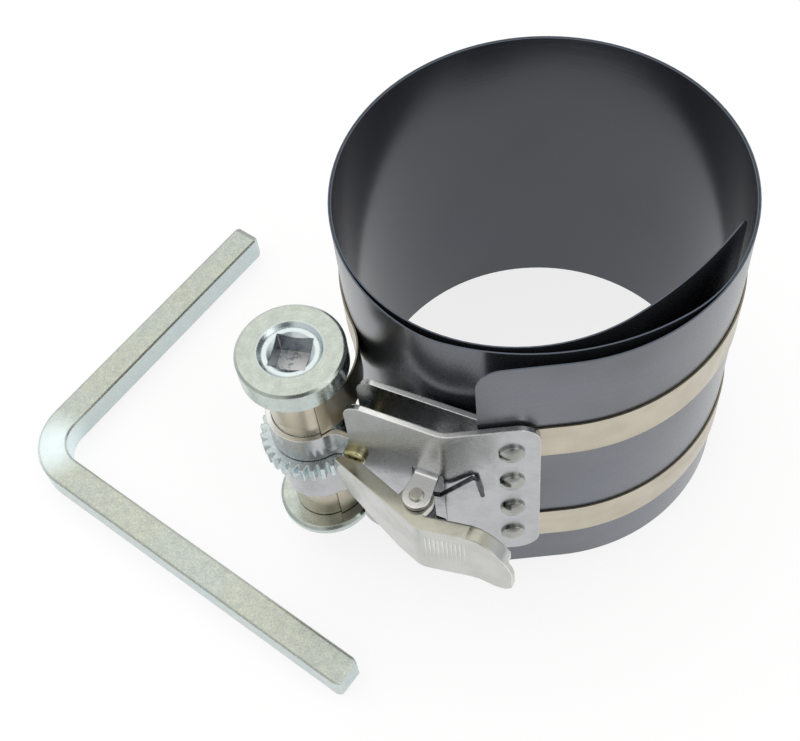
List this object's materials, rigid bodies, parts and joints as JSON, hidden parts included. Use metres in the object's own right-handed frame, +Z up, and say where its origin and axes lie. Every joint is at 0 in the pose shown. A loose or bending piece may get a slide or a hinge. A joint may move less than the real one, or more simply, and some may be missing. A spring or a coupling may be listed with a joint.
{
  "type": "piston ring compressor",
  "caption": "Rolled spring-steel sleeve drawn in by bands that a ratcheted spindle winds up, with a thumb release lever and a loose bent square key, for pressing piston rings in.",
  "frame": {"origin": "on the sleeve's axis, in the plane of the sleeve's lower rim", "axes": "+Z up along the sleeve, -Y out of the riveted plate, -X from the sleeve towards the spindle"},
  "size_m": [0.1657, 0.13, 0.08],
  "materials": {
    "blued_steel": "satin, blued",
    "band_steel": "satin, straw tinted",
    "plated_steel": "bright plated",
    "zinc_steel": "zinc plated, fine turned",
    "key_steel": "zinc plated, drawn bar",
    "spring_wire": "oiled wire",
    "brass": "yellow passivated"
  },
  "bodies": {
    "housing": {"sleeve": "blued_steel", "upper_band": "band_steel", "lower_band": "band_steel", "bracket": "plated_steel", "rivet_1": "plated_steel", "rivet_2": "plated_steel", "rivet_3": "plated_steel", "rivet_4": "plated_steel", "pivot_pin": "plated_steel", "torsion_spring": "spring_wire", "clamp_screw": "brass", "clamp_nut": "plated_steel"},
    "winder": {"spindle": "zinc_steel", "socket_head": "zinc_steel", "ratchet_wheel": "zinc_steel", "end_flange": "zinc_steel", "upper_winding": "band_steel", "lower_winding": "band_steel"},
    "release": {"release_lever": "plated_steel"},
    "loose_key": {"key": "key_steel"}
  },
  "joints": [
    {"name": "spindle_turn", "type": "hinge", "parent": "housing", "child": "winder", "pos_m": [-0.05177, -0.02503, 0.036], "axis": [0, 0, 1], "continuous": true},
    {"name": "lever_release", "type": "hinge", "parent": "housing", "child": "release", "pos_m": [-0.03065, -0.04645, 0.0347], "axis": [0, 0, 1], "range_deg": [0, 15], "stiffness_Nm_per_rad": 0.02, "springref_deg": -22.92},
    {"name": "key_lift", "type": "slide", "parent": "housing", "child": "loose_key", "axis": [0, 0, 1], "range_m": [0, 0.1]}
  ]
}
